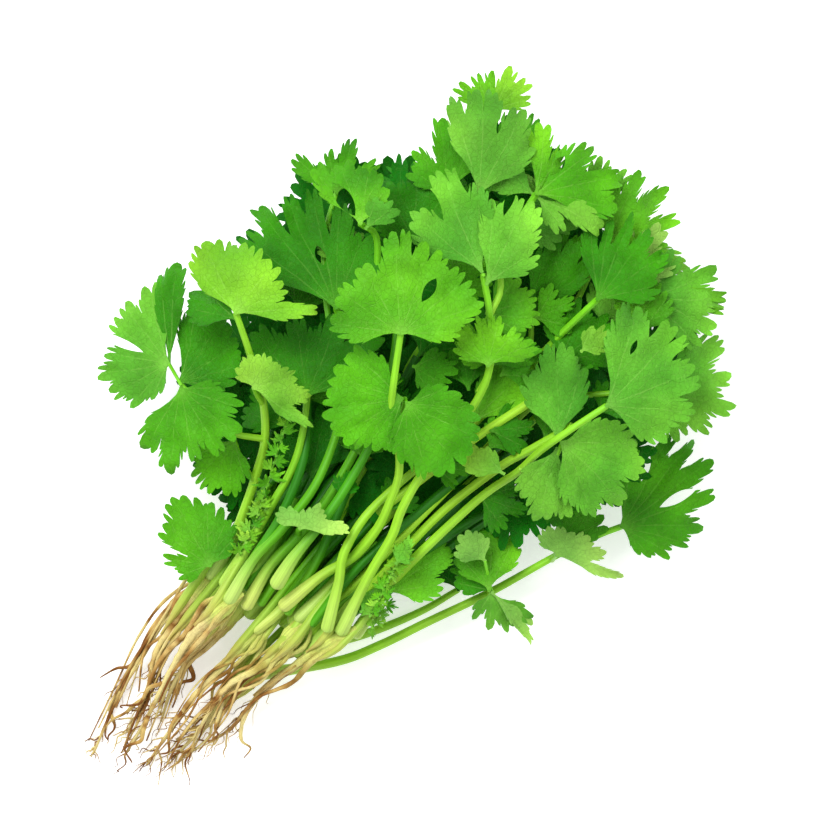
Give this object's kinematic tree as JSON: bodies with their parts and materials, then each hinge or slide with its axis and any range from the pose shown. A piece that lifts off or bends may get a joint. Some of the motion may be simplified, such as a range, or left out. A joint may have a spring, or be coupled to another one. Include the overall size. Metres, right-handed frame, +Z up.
{
  "type": "coriander bunch",
  "caption": "Untied bunch of whole young coriander plants lying on its side, tan roots at one end and a dome of lobed green leaves at the other.",
  "frame": {"origin": "centre of the bunch's bounding box in plan, on the surface that it rests on", "axes": "+X from the roots to the leaves along the bunch, +Z up, +Y to the left seen from the roots"},
  "size_m": [0.2402, 0.1768, 0.0704],
  "materials": {
    "root": "tan fibrous root with brown skin and traces of soil",
    "stalk": "smooth ribbed light green leaf stalk, paler at its base",
    "leaf_bright": "bright yellow-green leaf with fine pale veins",
    "leaf_mid": "mid green leaf with fine pale veins",
    "leaf_dark": "dark green leaf with fine pale veins"
  },
  "bodies": {
    "root": {"root_1": "root", "root_2": "root", "root_3": "root", "root_4": "root", "root_5": "root", "root_6": "root", "root_7": "root", "root_8": "root", "stalk_bright_left": "stalk", "stalk_centre": "stalk", "stalk_centre_low": "stalk", "stalk_dark_left": "stalk", "stalk_edge_right": "stalk", "stalk_edge_top": "stalk", "stalk_far_right": "stalk", "stalk_left": "stalk", "stalk_middle_left": "stalk", "stalk_outer": "stalk", "stalk_outer_thin": "stalk", "stalk_right": "stalk", "stalk_shaded_left": "stalk", "stalk_top": "stalk", "stalk_under_far": "stalk", "stalk_under_left": "stalk", "stalk_under_middle": "stalk", "stalk_upper_right": "stalk", "leaf_behind_top": "leaf_dark", "leaf_bright_left": "leaf_bright", "leaf_centre": "leaf_bright", "leaf_centre_low": "leaf_mid", "leaf_centre_pair": "leaf_mid", "leaf_dark_left": "leaf_dark", "leaf_dark_middle": "leaf_dark", "leaf_edge_left": "leaf_dark", "leaf_edge_low_right": "leaf_dark", "leaf_edge_right": "leaf_mid", "leaf_edge_top": "leaf_bright", "leaf_grey_left": "leaf_mid", "leaf_left": "leaf_mid", "leaf_long_right": "leaf_bright", "leaf_outer_low": "leaf_dark", "leaf_outer_small": "leaf_mid", "leaf_pale_edge": "leaf_bright", "leaf_right_dark": "leaf_dark", "leaf_right_edge": "leaf_dark", "leaf_right_pair": "leaf_mid", "leaf_right_shaded": "leaf_dark", "leaf_round_low": "leaf_mid", "leaf_shaded_left": "leaf_dark", "leaf_side_pair": "leaf_mid", "leaf_slotted": "leaf_dark", "leaf_small_pale": "leaf_bright", "leaf_small_umbrella": "leaf_bright", "leaf_top_fan": "leaf_mid", "leaf_top_pair": "leaf_mid", "leaf_under_far": "leaf_dark", "leaf_under_left": "leaf_dark", "leaf_under_middle": "leaf_dark", "leaf_upper_right": "leaf_mid", "leaf_yellow_umbrella": "leaf_bright"}
  },
  "joints": []
}
